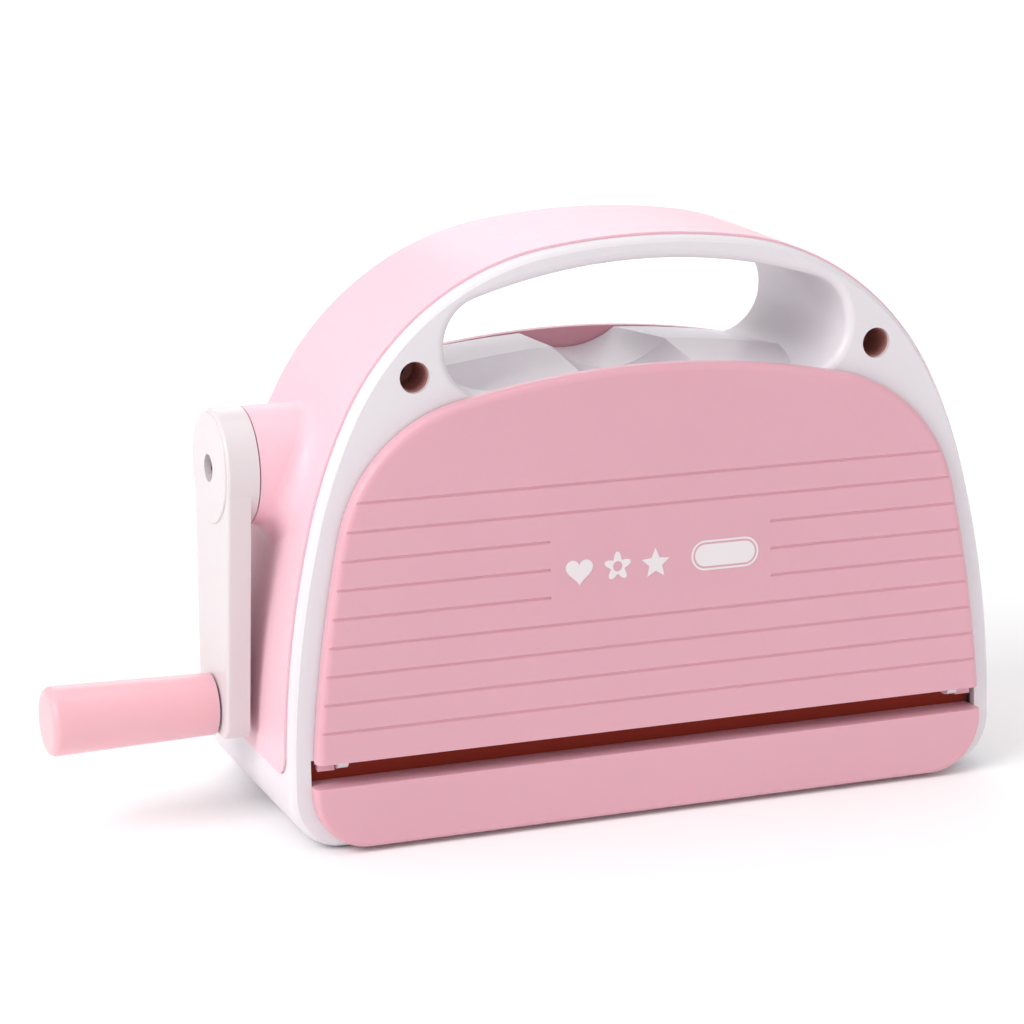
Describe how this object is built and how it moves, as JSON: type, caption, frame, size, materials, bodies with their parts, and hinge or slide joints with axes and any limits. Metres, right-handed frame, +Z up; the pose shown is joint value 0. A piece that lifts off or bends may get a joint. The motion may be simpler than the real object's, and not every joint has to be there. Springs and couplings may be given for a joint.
{
  "type": "die-cutting press",
  "caption": "Hand-cranked roller press for die cutting and embossing, with carry handle and folding feed tables.",
  "frame": {"origin": "centre of the base, on the underside of the anti-slip pad, midway between the two faces", "axes": "+X to the right seen from the front, along the rollers; +Y towards the rear table; +Z up. The crank is on the -X side."},
  "size_m": [0.2908, 0.0936, 0.172],
  "materials": {
    "white_shell": "satin moulded ABS",
    "pink_cover": "satin moulded ABS",
    "pink_panel": "satin moulded ABS",
    "zinc_steel": "zinc plated sheet",
    "black_steel": "black oxide",
    "bearing": "acetal",
    "pin_steel": "turned",
    "roller_steel": "ground",
    "gear_metal": "sintered",
    "white_arm": "satin moulded ABS",
    "pink_grip": "satin moulded ABS",
    "foot_rubber": "matt"
  },
  "bodies": {
    "root": {"front_frame": "white_shell", "rear_frame": "white_shell", "arch_cover": "pink_cover", "front_sill": "pink_panel", "rear_sill": "pink_panel", "feed_bed": "pink_panel", "base_plate": "zinc_steel", "side_plate_left": "zinc_steel", "side_plate_right": "zinc_steel", "tie_rod_1": "zinc_steel", "tie_rod_2": "zinc_steel", "tie_rod_3": "zinc_steel", "tie_rod_screws": "black_steel", "upper_bush_left": "bearing", "upper_bush_right": "bearing", "lower_bush_left": "bearing", "lower_bush_right": "bearing", "crank_bush_inner": "bearing", "crank_bush_outer": "bearing", "front_hinge_pin_left": "pin_steel", "front_hinge_pin_right": "pin_steel", "rear_hinge_pin_left": "pin_steel", "rear_hinge_pin_right": "pin_steel", "idler_clip": "black_steel", "idler_stud": "pin_steel", "anti_slip_pad": "foot_rubber", "frame_screw_left": "black_steel", "frame_screw_right": "black_steel"},
    "crank": {"crank_arm": "white_arm", "crank_shaft": "pin_steel", "crank_screw": "black_steel", "drive_pinion": "gear_metal", "grip_spindle": "pin_steel", "crank_clip": "black_steel"},
    "grip_sleeve": {"grip": "pink_grip"},
    "idler": {"idler_gear": "gear_metal"},
    "upper_roller": {"upper_roller": "roller_steel", "upper_roller_shaft": "roller_steel", "roller_gear": "gear_metal", "upper_shaft_clip": "black_steel"},
    "lower_roller": {"lower_roller": "roller_steel", "lower_roller_shaft": "roller_steel", "lower_shaft_clips": "black_steel"},
    "front_table": {"front_table": "pink_panel"},
    "rear_table": {"rear_table": "pink_panel"}
  },
  "joints": [
    {"name": "crank_spin", "type": "hinge", "parent": "root", "child": "crank", "pos_m": [-0.1, 0, 0.106], "axis": [1, 0, 0], "continuous": true},
    {"name": "grip_spin", "type": "hinge", "parent": "crank", "child": "grip_sleeve", "pos_m": [-0.15, 0, 0.0344], "axis": [1, 0, 0], "continuous": true},
    {"name": "idler_spin", "type": "hinge", "parent": "root", "child": "idler", "pos_m": [-0.0873, 0.01161, 0.09224], "axis": [1, 0, 0], "continuous": true},
    {"name": "upper_roller_spin", "type": "hinge", "parent": "root", "child": "upper_roller", "pos_m": [0, 0, 0.055], "axis": [1, 0, 0], "continuous": true},
    {"name": "lower_roller_spin", "type": "hinge", "parent": "root", "child": "lower_roller", "pos_m": [0, 0, 0.0194], "axis": [1, 0, 0], "continuous": true},
    {"name": "front_table_fold", "type": "hinge", "parent": "root", "child": "front_table", "pos_m": [0, -0.04045, 0.0273], "axis": [1, 0, 0], "range_deg": [0, 94.5]},
    {"name": "rear_table_fold", "type": "hinge", "parent": "root", "child": "rear_table", "pos_m": [0, 0.04045, 0.0273], "axis": [-1, 0, 0], "range_deg": [0, 94.5]}
  ],
  "couplings": [
    {"joint": "idler_spin", "follows": "crank_spin", "ratio": -1},
    {"joint": "upper_roller_spin", "follows": "crank_spin", "ratio": 0.3}
  ]
}
